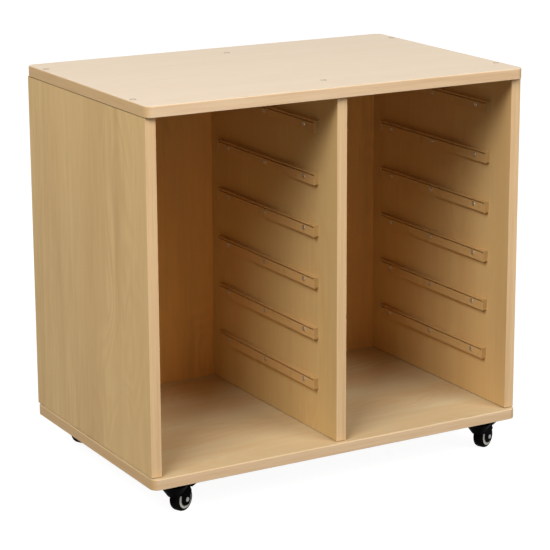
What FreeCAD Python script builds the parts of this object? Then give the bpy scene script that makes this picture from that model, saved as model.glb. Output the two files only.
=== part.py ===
import FreeCAD, Part
import math
import os
import re

import Sketcher

# A mobile tray storage cabinet: a laminated board carcass with two bays, six levels of tray
# runners on each bay wall, and four hooded swivel castors, the front two with brakes.
# Millimetres, +Z up. X runs along the front from left to right and Y from front to back.
# The origin is on the floor under the middle of the cabinet.

DIMENSIONS = [
    # Carcass
    ("cabinet_width", 695.0),
    ("cabinet_depth", 447.0),
    ("carcass_height", 608.0),
    ("board", 18.0),
    ("corner_radius", 13.0),
    ("edge_break", 1.2),
    ("side_inset", 1.5),
    ("front_setback", 8.0),
    ("rear_setback", 2.0),
    ("back_board", 8.0),
    ("back_recess", 5.0),
    ("groove_depth", 6.0),
    ("fit_gap", 0.1),
    # Screws that join the boards
    ("fixing_front", 66.0),
    ("fixing_rear", 58.0),
    ("fixing_length", 50.0),
    ("fixing_shank", 3.5),
    ("fixing_head", 5.0),
    ("fixing_head_height", 3.0),
    ("cap_radius", 6.0),
    ("cap_thickness", 1.5),
    ("cap_rise", 0.3),
    ("screw_gap", 0.05),
    # Tray runners
    ("tray_levels", 6),
    ("tray_pitch", 86.3),
    ("first_level", 102.0),
    ("runner_middle", 232.0),
    ("runner_length", 332.0),
    ("runner_height", 20.0),
    ("runner_reach", 8.0),
    ("runner_web", 5.4),
    ("runner_ledge", 2.0),
    ("runner_end", 2.5),
    ("runner_nose", 2.5),
    ("runner_screw_pitch", 130.0),
    ("runner_screws", 3),
    ("screw_radius", 1.75),
    ("screw_head_radius", 3.6),
    ("screw_head_height", 1.8),
    ("side_screw_bite", 13.0),
    ("divider_screw_bite", 7.5),
    ("castor_screw_bite", 13.0),
    # Castors
    ("castor_height", 58.0),
    ("castor_side_inset", 54.0),
    ("castor_end_inset", 36.0),
    ("castor_turn", 25.0),
    ("castor_trail", 17.5),
    ("plate_size", 42.0),
    ("plate_thickness", 2.5),
    ("plate_corner", 5.0),
    ("plate_hole_pitch", 30.0),
    ("race_radius", 15.0),
    ("kingpin_radius", 4.5),
    ("kingpin_head_radius", 6.5),
    ("kingpin_head_height", 2.0),
    ("kingpin_grip", 12.0),
    ("running_gap", 0.3),
    ("shaft_gap", 0.06),
    ("wheel_radius", 20.5),
    ("wheel_width", 19.0),
    ("tyre_side_radius", 16.6),
    ("tyre_shoulder_radius", 19.4),
    ("tyre_shoulder", 5.0),
    ("tyre_shoulder_break", 1.6),
    ("rim_radius", 15.4),
    ("rim_width", 4.4),
    ("hub_web", 12.0),
    ("axle_radius", 3.0),
    ("axle_head_radius", 3.8),
    ("axle_head_height", 1.6),
    ("hood_radius", 24.5),
    ("hood_rim", 4.0),
    ("hood_foot_radius", 10.3),
    ("hood_foot_depth", 28.0),
    ("hood_wall", 2.6),
    ("hood_wheel_gap", 1.8),
    ("hood_reach", 30.2),
    ("hood_lip", 2.4),
    ("hood_waist", 25.5),
    ("hood_waist_depth", 16.0),
    ("hood_shoulder", 3.0),
    ("leg_radius", 10.0),
    # Brake pedals
    ("pedal_pivot_reach", 21.5),
    ("pedal_pivot_depth", 10.5),
    ("pedal_barrel", 3.4),
    ("pedal_trunnion", 2.0),
    ("pedal_trunnion_length", 2.5),
    ("pedal_width", 16.0),
    ("pedal_arm_depth", 16.4),
    ("toe_start", 34.6),
    ("toe_end", 50.0),
    ("toe_width", 20.0),
    ("toe_top_depth", 9.0),
    ("toe_heel_depth", 22.0),
    ("toe_tip_depth", 19.4),
    ("toe_wall", 2.5),
    ("shoe_gap", 2.1),
    ("shoe_taper", 0.7),
    ("shoe_lead_angle", 51.5),
    ("shoe_trail_angle", 41.5),
    ("cut_margin", 1.0),
]
ALIASES = dict(DIMENSIONS)

doc = FreeCAD.newDocument("tray_cabinet")
sheet = doc.addObject("Spreadsheet::Sheet", "dims")
for row, (alias, size) in enumerate(DIMENSIONS, start=1):
    sheet.set("A%d" % row, alias.replace("_", " "))
    sheet.set("B%d" % row, repr(size))
    sheet.setAlias("B%d" % row, alias)
doc.recompute()

# Derived positions, written in the sheet's own words. Heights are from the base's underside.
FRONT = "(-cabinet_depth / 2)"
REAR = "(cabinet_depth / 2)"
SIDE_FRONT = "(-cabinet_depth / 2 + front_setback)"
SIDE_REAR = "(cabinet_depth / 2 - rear_setback)"
BACK_REAR = "(cabinet_depth / 2 - rear_setback - back_recess)"
BACK_FRONT = "(cabinet_depth / 2 - rear_setback - back_recess - back_board)"
SIDE_OUTER = "(cabinet_width / 2 - side_inset)"
SIDE_INNER = "(cabinet_width / 2 - side_inset - board)"
SIDE_MIDDLE = "(cabinet_width / 2 - side_inset - board / 2)"
SIDE_TOP = "(carcass_height - board)"
FIRST_SCREW = "(-cabinet_depth / 2 + runner_middle - (runner_screws - 1) * runner_screw_pitch / 2)"
WHEEL_DROP = "(castor_height - wheel_radius)"
WHEEL_FACE = "(wheel_width / 2)"
HOOD_TOP = "(plate_thickness + screw_head_height + running_gap)"
SLOT_WIDTH = "(wheel_width + 2 * running_gap)"
HOOD_WIDTH = "(wheel_width + 2 * running_gap + 2 * hood_wall)"
SLOT_RADIUS = "(wheel_radius + hood_wheel_gap)"
SWIVEL_X = "(cabinet_width / 2 - castor_side_inset)"
SWIVEL_Y = "(cabinet_depth / 2 - castor_end_inset)"

FIXING_ROWS = ("(-cabinet_depth / 2 + fixing_front)", "(cabinet_depth / 2 - fixing_rear)")
FIXING_BITE = "(fixing_length - board + cap_thickness - cap_rise)"
CAP_HOLE_DEPTH = "(cap_thickness - cap_rise + fixing_head_height)"
UPRIGHTS = ("(-%s)" % SIDE_MIDDLE, "0", SIDE_MIDDLE)

# Small screws and their holes are drawn with flats in place of curves, to keep the model light.
SHANK_FLATS = 4
HEAD_FLATS = 6
CAP_FLATS = 12

pieces = []


def bind(expression):
    """The expression with the sheet's name before each of its aliases."""
    return re.sub(r"[a-z_]{2,}", lambda word: "dims." + word.group()
                  if word.group() in ALIASES else word.group(), expression)


def value(expression):
    """The number that an expression gives with the sheet as it stands."""
    return float(sheet.evalExpression(bind(expression)))


def drive(item, path, expression):
    """Tie one property to the sheet."""
    item.setExpression(path, bind(expression))


def new_body(label, x="0", y="0", z="0", turn=None):
    """A sub-part of its own, placed by the sheet and turned about +Z."""
    body = doc.addObject("PartDesign::Body", label)
    body.Label = label
    body.AllowCompound = True
    if turn is not None:
        body.Placement = FreeCAD.Placement(FreeCAD.Vector(), FreeCAD.Rotation(FreeCAD.Vector(0, 0, 1), 1))
        drive(body, "Placement.Rotation.Angle", turn)
    for axis, expression in zip("xyz", (x, y, z)):
        drive(body, "Placement.Base." + axis, expression)
    pieces.append(body)
    return body


def origin_feature(body, role):
    """A plane or an axis of the body's own origin."""
    return next(item for item in body.Origin.OriginFeatures if item.Role == role)


def new_sketch(body, name, plane, x="0", y="0", z="0"):
    """A sketch on an origin plane of the body, with its own origin moved to x, y, z."""
    sketch = body.newObject("Sketcher::SketchObject", name)
    sketch.AttachmentSupport = [(origin_feature(body, plane), "")]
    sketch.MapMode = "FlatFace"
    shift = {"XY_Plane": (x, y, z), "XZ_Plane": (x, z, "-(%s)" % y), "YZ_Plane": (y, z, x)}[plane]
    for axis, expression in zip("xyz", shift):
        drive(sketch, "AttachmentOffset.Base." + axis, expression)
    return sketch


def hold(sketch, element, point, x, y):
    """Fix a point of the sketch at x, y by two dimensions tied to the sheet."""
    for kind, expression in (("DistanceX", x), ("DistanceY", y)):
        constraint = Sketcher.Constraint(kind, -1, 1, element, point, value(expression))
        number = sketch.addConstraint(constraint)
        drive(sketch, "Constraints[%d]" % number, expression)


def polygon(sketch, corners):
    """A closed outline of straight lines."""
    points = [FreeCAD.Vector(value(x), value(y), 0) for x, y in corners]
    first = sketch.GeometryCount
    for start, end in zip(points, points[1:] + points[:1]):
        sketch.addGeometry(Part.LineSegment(start, end), False)
    for index, (x, y) in enumerate(corners):
        following = first + (index + 1) % len(corners)
        sketch.addConstraint(Sketcher.Constraint("Coincident", first + index, 2, following, 1))
        hold(sketch, first + index, 1, x, y)


def rectangle(sketch, left, right, bottom, top):
    """A closed outline with sides along the sketch's axes."""
    polygon(sketch, [(left, bottom), (right, bottom), (right, top), (left, top)])


def circle(sketch, x, y, radius):
    """A circle with its centre and radius tied to the sheet."""
    centre = FreeCAD.Vector(value(x), value(y), 0)
    shape = Part.Circle(centre, FreeCAD.Vector(0, 0, 1), value(radius))
    element = sketch.addGeometry(shape, False)
    hold(sketch, element, 3, x, y)
    number = sketch.addConstraint(Sketcher.Constraint("Radius", element, value(radius)))
    drive(sketch, "Constraints[%d]" % number, radius)


def flats(sketch, x, y, radius, count):
    """A regular outline with count corners at radius about x, y."""
    polygon(sketch, [("%s + (%s) * cos(%g)" % (x, radius, 360 * corner / count),
                      "%s + (%s) * sin(%g)" % (y, radius, 360 * corner / count))
                     for corner in range(count)])


def feature(body, kind, name, sketch, length=None, middle=False, flipped=False):
    """A Pad or a Pocket of a sketch; with no length a Pocket goes through all."""
    item = body.newObject("PartDesign::" + kind, name)
    item.Profile = sketch
    item.Reversed = flipped
    item.SideType = "Symmetric" if middle else "One side"
    if length is None:
        item.Type = "ThroughAll"
    else:
        drive(item, "Length", length)
    return item


def pad(body, name, sketch, length, middle=False, flipped=False):
    return feature(body, "Pad", name, sketch, length, middle, flipped)


def pocket(body, name, sketch, length=None, middle=False, flipped=False):
    return feature(body, "Pocket", name, sketch, length, middle, flipped)


def revolve(body, name, sketch, axis):
    """A full turn of a sketch about its own H_Axis or V_Axis."""
    item = body.newObject("PartDesign::Revolution", name)
    item.Profile = sketch
    item.ReferenceAxis = (sketch, [axis])
    item.Angle = 360
    return item


def dress(body, kind, name, base, chosen, property_name, size):
    """A Fillet or Chamfer on the edges of the base for which chosen is true."""
    doc.recompute()
    names = ["Edge%d" % number for number, edge in enumerate(base.Shape.Edges, start=1) if chosen(edge)]
    item = body.newObject("PartDesign::" + kind, name)
    item.Base = (base, names)
    drive(item, property_name, size)
    return item


def fillet(body, name, base, chosen, radius):
    return dress(body, "Fillet", name, base, chosen, "Radius", radius)


def chamfer(body, name, base, chosen, size):
    return dress(body, "Chamfer", name, base, chosen, "Size", size)


def row_of(body, name, role, pitch, count):
    """A linear pattern along one axis of the body's origin."""
    item = doc.addObject("PartDesign::LinearPattern", name)
    body.addObject(item)
    item.Direction = (origin_feature(body, role), [""])
    item.Mode = "Spacing"
    drive(item, "Offset", pitch)
    drive(item, "Occurrences", count)
    return item


def mirror_of(body, name, role):
    """A mirror across one plane of the body's origin."""
    item = doc.addObject("PartDesign::Mirrored", name)
    body.addObject(item)
    item.MirrorPlane = (origin_feature(body, role), [""])
    return item


def repeat(body, name, original, steps):
    """The original repeated by each step in turn."""
    item = body.newObject("PartDesign::MultiTransform", name)
    item.Originals = [original]
    item.Transformations = steps
    body.Tip = item
    return item


# ---------------------------------------------------------------- carcass boards

def cover_board(label, bottom, joint_face, flipped):
    """The top or base board: rounded corners, broken edges and a groove for the back panel in
    the face that meets the uprights. flipped is true where the board lies above that face."""
    board = new_body(label, z="castor_height")
    outline = new_sketch(board, label + "_outline", "XY_Plane", z=bottom)
    rectangle(outline, "-cabinet_width / 2", "cabinet_width / 2", FRONT, REAR)
    slab = pad(board, label + "_slab", outline, "board")
    corners = fillet(board, label + "_corners", slab, is_upright, "corner_radius")
    chamfer(board, label + "_edges", corners, is_level, "edge_break")
    groove = new_sketch(board, label + "_groove_line", "XY_Plane", z=joint_face)
    groove_end = "(%s + groove_depth)" % SIDE_INNER
    rectangle(groove, "-" + groove_end, groove_end, BACK_FRONT, BACK_REAR)
    pocket(board, label + "_groove", groove, "groove_depth", flipped=flipped)
    return board


def is_upright(edge):
    """True for a straight edge along Z."""
    return edge.BoundBox.ZLength > 1e-6


def is_level(edge):
    """True for an edge that keeps one height."""
    return edge.BoundBox.ZLength < 1e-6


def fixing_points(sketch, radius, sides):
    """One outline at each joining screw of a cover board."""
    for x in UPRIGHTS:
        for y in FIXING_ROWS:
            flats(sketch, x, y, radius, sides)


def fixing_holes(board, label, outer_face, flipped):
    """Counterbored holes for the joining screws, sunk from the outer face."""
    for name, radius, sides, depth in (
            ("shank_holes", "fixing_shank + screw_gap", SHANK_FLATS, "board"),
            ("head_holes", "cap_radius + screw_gap", CAP_FLATS, CAP_HOLE_DEPTH)):
        points = new_sketch(board, label + "_" + name + "_points", "XY_Plane", z=outer_face)
        fixing_points(points, radius, sides)
        pocket(board, label + "_" + name, points, depth, flipped=flipped)


def top_panel():
    board = cover_board("top_panel", SIDE_TOP, SIDE_TOP, True)
    fixing_holes(board, "top_panel", "carcass_height", False)


def base_panel():
    board = cover_board("base_panel", "0", "board", False)
    fixing_holes(board, "base_panel", "0", True)
    points = new_sketch(board, "base_panel_castor_points", "XY_Plane")
    for castor_x in ("-%s" % SWIVEL_X, SWIVEL_X):
        for castor_y in ("-%s" % SWIVEL_Y, SWIVEL_Y):
            for x, y in plate_corners(castor_x, castor_y):
                flats(points, x, y, "screw_radius + screw_gap", SHANK_FLATS)
    pocket(board, "base_panel_castor_holes", points, "castor_screw_bite + screw_gap", flipped=True)


def plate_corners(x, y):
    """The four screw places of a castor plate centred at x, y."""
    return [("%s %s plate_hole_pitch / 2" % (x, side), "%s %s plate_hole_pitch / 2" % (y, end))
            for side in "-+" for end in "-+"]


def upright(label, low_x, high_x, rear):
    """A side or the divider, standing between the cover boards and drilled in both ends."""
    board = new_body(label, z="castor_height")
    outline = new_sketch(board, label + "_outline", "XY_Plane", z="board")
    rectangle(outline, low_x, high_x, SIDE_FRONT, rear)
    pad(board, label + "_slab", outline, "carcass_height - 2 * board")
    middle = "((%s) + (%s)) / 2" % (low_x, high_x)
    for end, height, flipped in (("foot", "board", True), ("head", SIDE_TOP, False)):
        points = new_sketch(board, "%s_%s_points" % (label, end), "XY_Plane", z=height)
        for y in FIXING_ROWS:
            flats(points, middle, y, "fixing_shank + screw_gap", SHANK_FLATS)
        pocket(board, "%s_%s_screw_holes" % (label, end), points, FIXING_BITE + " + screw_gap",
               flipped=flipped)
    return board


def runner_holes(board, label, face, depth, flipped):
    """Pilot holes for the runner screws of one face, in rows and levels."""
    point = new_sketch(board, label + "_point", "YZ_Plane", x=face, y=FIRST_SCREW, z="first_level")
    flats(point, "0", "0", "screw_radius + screw_gap", SHANK_FLATS)
    hole = pocket(board, label + "_hole", point, depth + " + screw_gap", flipped=flipped)
    repeat(board, label + "_holes", hole, [
        row_of(board, label + "_row", "Y_Axis", "runner_screw_pitch", "runner_screws"),
        row_of(board, label + "_levels", "Z_Axis", "tray_pitch", "tray_levels")])


def side_panel(label, hand):
    """A side board; hand is + for the right one and - for the left one."""
    inner = "(%s%s)" % (hand, SIDE_INNER)
    outer = "(%s%s)" % (hand, SIDE_OUTER)
    low_x, high_x = (inner, outer) if hand == "+" else (outer, inner)
    board = upright(label, low_x, high_x, SIDE_REAR)
    groove = new_sketch(board, label + "_groove_line", "YZ_Plane", x=inner)
    rectangle(groove, BACK_FRONT, BACK_REAR, "board", SIDE_TOP)
    pocket(board, label + "_groove", groove, "groove_depth", flipped=hand == "+")
    runner_holes(board, label + "_runner", inner, "side_screw_bite", flipped=hand == "+")


def centre_divider():
    board = upright("centre_divider", "-board / 2", "board / 2", BACK_FRONT)
    runner_holes(board, "divider_left", "-board / 2", "divider_screw_bite", flipped=True)
    runner_holes(board, "divider_right", "board / 2", "divider_screw_bite", flipped=False)


def back_panel():
    """The thin board that slides into the grooves of the sides, top and base."""
    board = new_body("back_panel", z="castor_height")
    outline = new_sketch(board, "back_outline", "XZ_Plane", y=BACK_REAR)
    reach = "(%s + groove_depth - fit_gap)" % SIDE_INNER
    rectangle(outline, "-" + reach, reach, "board - groove_depth + fit_gap",
              "carcass_height - board + groove_depth - fit_gap")
    pad(board, "back_slab", outline, "back_board")


def build_carcass():
    top_panel()
    base_panel()
    side_panel("left_side", "-")
    side_panel("right_side", "+")
    centre_divider()
    back_panel()


# ---------------------------------------------------------------- tray runners

def runner(label, x, y, z, turn):
    """A moulded runner: a ledge on a web, closed at both ends so that it fits either
    hand. Drawn with its back on x = 0, its ledge towards +X and its middle screw at y = 0."""
    body = new_body(label, x, y, z, turn)
    section = new_sketch(body, label + "_section", "XZ_Plane")
    rectangle(section, "0", "runner_reach", "-runner_height / 2", "runner_height / 2")
    block = pad(body, label + "_block", section, "runner_length", middle=True)
    chamfer(body, label + "_nose", block, is_runner_nose, "runner_nose")
    hollow = new_sketch(body, label + "_hollow_line", "YZ_Plane", x="runner_reach")
    end = "(runner_length / 2 - runner_end)"
    rectangle(hollow, "-" + end, end, "-runner_height / 2 - cut_margin",
              "runner_height / 2 - runner_ledge")
    pocket(body, label + "_hollow", hollow, "runner_reach - runner_web")
    point = new_sketch(body, label + "_point", "YZ_Plane", x="runner_web",
                       y="-(runner_screws - 1) * runner_screw_pitch / 2")
    flats(point, "0", "0", "screw_radius + screw_gap", SHANK_FLATS)
    hole = pocket(body, label + "_hole", point)
    repeat(body, label + "_holes", hole,
           [row_of(body, label + "_row", "Y_Axis", "runner_screw_pitch", "runner_screws")])


def is_runner_nose(edge):
    """True for the two lower corners at the ends of the block, which run away from the wall."""
    return edge.BoundBox.XLength > 1e-6 and edge.BoundBox.ZMax < 0


def build_runners():
    sides = (("left_bay_outer", "(-%s)" % SIDE_INNER, "0"),
             ("left_bay_inner", "(-board / 2)", "180"),
             ("right_bay_inner", "(board / 2)", "0"),
             ("right_bay_outer", SIDE_INNER, "180"))
    for name, x, turn in sides:
        for level in range(int(value("tray_levels"))):
            z = "castor_height + first_level + %d * tray_pitch" % level
            y = "-cabinet_depth / 2 + runner_middle"
            runner("%s_runner_%d" % (name, level + 1), x, y, z, turn)


# ---------------------------------------------------------------- fasteners

def runner_screws(label, face, bite):
    """The screws of all runners on a pair of walls, mirrored across the middle. face is the
    wall that looks towards +X; each head stands on the runner's web."""
    group = new_body(label, z="castor_height")
    places = {"y": FIRST_SCREW, "z": "first_level"}
    shank = new_sketch(group, label + "_shank_line", "YZ_Plane", x="%s - (%s)" % (face, bite), **places)
    flats(shank, "0", "0", "screw_radius", SHANK_FLATS)
    pad(group, label + "_shank", shank, "%s + runner_web + screw_head_height" % bite)
    head = new_sketch(group, label + "_head_line", "YZ_Plane", x="%s + runner_web" % face, **places)
    flats(head, "0", "0", "screw_head_radius", HEAD_FLATS)
    pad(group, label + "_head", head, "screw_head_height")
    whole = group.Tip
    repeat(group, label + "_set", whole, [
        row_of(group, label + "_row", "Y_Axis", "runner_screw_pitch", "runner_screws"),
        row_of(group, label + "_levels", "Z_Axis", "tray_pitch", "tray_levels"),
        mirror_of(group, label + "_pair", "YZ_Plane")])


def joining_screws(label, head_face, flipped):
    """The stepped screws through one cover board into the uprights."""
    group = new_body(label, z="castor_height")
    shank = new_sketch(group, label + "_shank_line", "XY_Plane", z=head_face)
    fixing_points(shank, "fixing_shank", SHANK_FLATS)
    pad(group, label + "_shank", shank, "fixing_length", flipped=flipped)
    head = new_sketch(group, label + "_head_line", "XY_Plane", z=head_face)
    fixing_points(head, "fixing_head", HEAD_FLATS)
    pad(group, label + "_head", head, "fixing_head_height", flipped=flipped)


def screw_caps():
    """The round covers over the joining screws in the top."""
    group = new_body("screw_caps", z="castor_height")
    outline = new_sketch(group, "screw_caps_outline", "XY_Plane", z="carcass_height + cap_rise")
    fixing_points(outline, "cap_radius", CAP_FLATS)
    pad(group, "screw_caps_discs", outline, "cap_thickness", flipped=True)


def castor_plate_screws():
    """Four screws up through each castor plate into the base."""
    group = new_body("castor_plate_screws", z="castor_height")
    shank = new_sketch(group, "plate_screws_shank_line", "XY_Plane",
                       z="-plate_thickness - screw_head_height")
    head = new_sketch(group, "plate_screws_head_line", "XY_Plane", z="-plate_thickness")
    for castor_x in ("-%s" % SWIVEL_X, SWIVEL_X):
        for castor_y in ("-%s" % SWIVEL_Y, SWIVEL_Y):
            for x, y in plate_corners(castor_x, castor_y):
                flats(shank, x, y, "screw_radius", SHANK_FLATS)
                flats(head, x, y, "screw_head_radius", HEAD_FLATS)
    pad(group, "plate_screws_shank", shank, "castor_screw_bite + plate_thickness + screw_head_height")
    pad(group, "plate_screws_head", head, "screw_head_height", flipped=True)


def build_fasteners():
    runner_screws("side_runner_screws", "(-%s)" % SIDE_INNER, "side_screw_bite")
    runner_screws("divider_runner_screws", "board / 2", "divider_screw_bite")
    joining_screws("top_joining_screws", "carcass_height - cap_thickness + cap_rise", True)
    joining_screws("base_joining_screws", "cap_thickness - cap_rise", False)
    screw_caps()
    castor_plate_screws()


# ---------------------------------------------------------------- castors

def castor_plate(label, x, y):
    """The square plate under the base with the kingpin that carries the hood."""
    body = new_body(label, x, y, "castor_height")
    outline = new_sketch(body, label + "_outline", "XY_Plane")
    half = "plate_size / 2"
    rectangle(outline, "-" + half, half, "-" + half, half)
    slab = pad(body, label + "_slab", outline, "plate_thickness", flipped=True)
    chamfer(body, label + "_corners", slab, is_upright, "plate_corner")
    points = new_sketch(body, label + "_screw_points", "XY_Plane")
    for screw_x, screw_y in plate_corners("0", "0"):
        flats(points, screw_x, screw_y, "screw_radius + screw_gap", SHANK_FLATS)
    pocket(body, label + "_screw_holes", points)
    race = new_sketch(body, label + "_race_line", "XY_Plane", z="-plate_thickness")
    circle(race, "0", "0", "race_radius")
    pad(body, label + "_race", race, "screw_head_height", flipped=True)
    pin = new_sketch(body, label + "_pin_line", "XY_Plane", z="-plate_thickness")
    circle(pin, "0", "0", "kingpin_radius")
    pad(body, label + "_pin", pin, "kingpin_grip", flipped=True)
    nut = new_sketch(body, label + "_nut_line", "XY_Plane", z="-plate_thickness - kingpin_grip")
    flats(nut, "0", "0", "kingpin_head_radius", HEAD_FLATS)
    pad(body, label + "_nut", nut, "kingpin_head_height", flipped=True)


def castor_hood(label, x, y, braked):
    """The moulded hood that swivels on the kingpin: a flared skirt round the pin, a cover
    over the wheel and a round-ended leg on each side that holds the axle."""
    body = new_body(label, x, y, "castor_height", "castor_turn")
    skirt = new_sketch(body, label + "_skirt_line", "XZ_Plane")
    polygon(skirt, [
        ("0", "-" + HOOD_TOP), ("hood_radius", "-" + HOOD_TOP),
        ("hood_radius", "-%s - hood_rim" % HOOD_TOP), ("hood_foot_radius", "-hood_foot_depth"),
        ("0", "-hood_foot_depth")])
    revolve(body, label + "_skirt", skirt, "V_Axis")
    cover = new_sketch(body, label + "_cover_line", "XZ_Plane")
    polygon(cover, [
        ("0", "-hood_foot_depth"), ("hood_reach - hood_lip", "-hood_foot_depth"),
        ("hood_reach", "-hood_foot_depth + hood_lip"), ("hood_waist", "-hood_waist_depth"),
        ("hood_waist", "-%s - hood_shoulder" % HOOD_TOP),
        ("hood_waist - hood_shoulder", "-" + HOOD_TOP), ("0", "-" + HOOD_TOP)])
    pad(body, label + "_cover", cover, HOOD_WIDTH, middle=True)
    leg = new_sketch(body, label + "_leg_line", "XZ_Plane")
    leg_outline(leg)
    pad(body, label + "_leg", leg, HOOD_WIDTH, middle=True)
    slot = new_sketch(body, label + "_slot_line", "XZ_Plane")
    circle(slot, "castor_trail", "-" + WHEEL_DROP, SLOT_RADIUS)
    pocket(body, label + "_slot", slot, SLOT_WIDTH, middle=True)
    bore = new_sketch(body, label + "_bore_line", "XY_Plane")
    circle(bore, "0", "0", "kingpin_radius + shaft_gap")
    pocket(body, label + "_bore", bore, "plate_thickness + kingpin_grip")
    seat = new_sketch(body, label + "_seat_line", "XY_Plane",
                      z="-plate_thickness - kingpin_grip + running_gap")
    circle(seat, "0", "0", "kingpin_head_radius + running_gap")
    pocket(body, label + "_seat", seat, "hood_foot_depth")
    hub = new_sketch(body, label + "_axle_line", "XZ_Plane")
    circle(hub, "castor_trail", "-" + WHEEL_DROP, "axle_radius")
    pocket(body, label + "_axle_hole", hub, HOOD_WIDTH + " + cut_margin", middle=True)
    if braked:
        brake_seat(body, label)


def leg_outline(sketch):
    """A strap down from the cover with a half-round end about the axle."""
    radius = value("leg_radius")
    centre = FreeCAD.Vector(value("castor_trail"), -value(WHEEL_DROP), 0)
    top = -value("hood_foot_depth") + value("hood_wall")
    full = Part.Circle(centre, FreeCAD.Vector(0, 0, 1), radius)
    arc = sketch.addGeometry(Part.ArcOfCircle(full, math.pi, 2 * math.pi), False)
    corners = [centre + FreeCAD.Vector(radius, 0, 0), FreeCAD.Vector(centre.x + radius, top, 0),
               FreeCAD.Vector(centre.x - radius, top, 0), centre - FreeCAD.Vector(radius, 0, 0)]
    lines = [sketch.addGeometry(Part.LineSegment(a, b), False) for a, b in zip(corners, corners[1:])]
    sketch.addConstraint(Sketcher.Constraint("Coincident", arc, 2, lines[0], 1))
    sketch.addConstraint(Sketcher.Constraint("Coincident", lines[0], 2, lines[1], 1))
    sketch.addConstraint(Sketcher.Constraint("Coincident", lines[1], 2, lines[2], 1))
    sketch.addConstraint(Sketcher.Constraint("Coincident", lines[2], 2, arc, 1))
    sketch.addConstraint(Sketcher.Constraint("Vertical", lines[0]))
    sketch.addConstraint(Sketcher.Constraint("Vertical", lines[2]))
    sketch.addConstraint(Sketcher.Constraint("Horizontal", lines[1]))
    sketch.addConstraint(Sketcher.Constraint("Horizontal", arc, 1, arc, 2))
    hold(sketch, arc, 3, "castor_trail", "-" + WHEEL_DROP)
    size = sketch.addConstraint(Sketcher.Constraint("Radius", arc, radius))
    drive(sketch, "Constraints[%d]" % size, "leg_radius")
    height = sketch.addConstraint(Sketcher.Constraint("DistanceY", -1, 1, lines[1], 1, top))
    drive(sketch, "Constraints[%d]" % height, "-hood_foot_depth + hood_wall")


def brake_seat(body, label):
    """The notch in the back of the hood for the pedal, and the holes for its trunnions."""
    notch = new_sketch(body, label + "_notch_line", "XZ_Plane")
    rectangle(notch, "pedal_pivot_reach - pedal_barrel - 2 * running_gap",
              "hood_reach + cut_margin", "-" + WHEEL_DROP, "0")
    pocket(body, label + "_notch", notch, "pedal_width + 2 * running_gap", middle=True)
    pivot = new_sketch(body, label + "_pivot_line", "XZ_Plane")
    circle(pivot, "pedal_pivot_reach", "-pedal_pivot_depth", "pedal_trunnion + shaft_gap")
    pocket(body, label + "_pivot_holes", pivot,
           "pedal_width + 2 * pedal_trunnion_length + 2 * running_gap", middle=True)


def about_wheel(radius, angle):
    """A point of the castor's side view at a radius and an angle above level from the axle."""
    return ("castor_trail + (%s) * cos(%s)" % (radius, angle),
            "-%s + (%s) * sin(%s)" % (WHEEL_DROP, radius, angle))


def brake_pedal(label, x, y):
    """The pedal: a hollow toe, and an arm on two trunnions with a shoe under it that comes
    down on the tyre when the toe is pressed."""
    body = new_body(label, x, y, "castor_height", "castor_turn")
    toe = new_sketch(body, label + "_toe_line", "XZ_Plane")
    polygon(toe, [
        ("toe_start", "-toe_heel_depth"), ("toe_end - toe_wall", "-toe_tip_depth"),
        ("toe_end", "-toe_tip_depth + toe_wall"), ("toe_end", "-toe_top_depth - toe_wall"),
        ("toe_end - toe_wall", "-toe_top_depth"), ("toe_start", "-toe_top_depth")])
    pad(body, label + "_toe", toe, "toe_width", middle=True)
    hollow = new_sketch(body, label + "_hollow_line", "XZ_Plane")
    rectangle(hollow, "toe_start + toe_wall", "toe_end - toe_wall", "-toe_heel_depth",
              "-toe_top_depth - toe_wall")
    pocket(body, label + "_hollow", hollow, "toe_width - 2 * toe_wall", middle=True)
    arm = new_sketch(body, label + "_arm_line", "XZ_Plane")
    lead_x, lead_z = about_wheel("wheel_radius + shoe_gap", "shoe_lead_angle")
    polygon(arm, [
        ("pedal_pivot_reach", "-pedal_pivot_depth - pedal_barrel"), (lead_x, "-pedal_arm_depth"),
        (lead_x, lead_z), about_wheel("wheel_radius + shoe_gap + shoe_taper", "shoe_trail_angle"),
        ("toe_start + toe_wall", "-toe_top_depth"), ("toe_start", "-toe_top_depth"),
        ("pedal_pivot_reach", "-pedal_pivot_depth + pedal_barrel")])
    pad(body, label + "_arm", arm, "pedal_width", middle=True)
    barrel = new_sketch(body, label + "_barrel_line", "XZ_Plane")
    circle(barrel, "pedal_pivot_reach", "-pedal_pivot_depth", "pedal_barrel")
    pad(body, label + "_barrel", barrel, "pedal_width", middle=True)
    trunnion = new_sketch(body, label + "_trunnion_line", "XZ_Plane")
    circle(trunnion, "pedal_pivot_reach", "-pedal_pivot_depth", "pedal_trunnion")
    pad(body, label + "_trunnions", trunnion, "pedal_width + 2 * pedal_trunnion_length", middle=True)


def turned_about_axle(label, x, y, corners):
    """A solid turned about the axle from half of its section. Each corner is a radius and a
    distance across the wheel."""
    body = new_body(label, x, y, "castor_height", "castor_turn")
    section = new_sketch(body, label + "_section", "YZ_Plane", x="castor_trail", z="-" + WHEEL_DROP)
    polygon(section, [(across, radius) for radius, across in corners])
    revolve(body, label + "_turned", section, "H_Axis")


def both_sides(corners):
    """The corners of one half of a section, then the same mirrored across its middle."""
    return corners + [(radius, "-(%s)" % across) for radius, across in reversed(corners)]


def castor_axle(label, x, y):
    """The pin riveted through the legs of the hood, with a round head at each end."""
    face = HOOD_WIDTH + " / 2"
    turned_about_axle(label, x, y, both_sides([
        ("0", face + " + axle_head_height"), ("axle_head_radius", face + " + axle_head_height"),
        ("axle_head_radius", face), ("axle_radius", face)]))


def wheel_hub(label, x, y):
    """The hub: a flat web between the bore and a wider rim."""
    bore = "axle_radius + shaft_gap"
    lip = "rim_radius - rim_width"
    turned_about_axle(label, x, y, both_sides([
        (bore, "hub_web / 2"), (lip, "hub_web / 2"), (lip, WHEEL_FACE), ("rim_radius", WHEEL_FACE)]))


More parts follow.
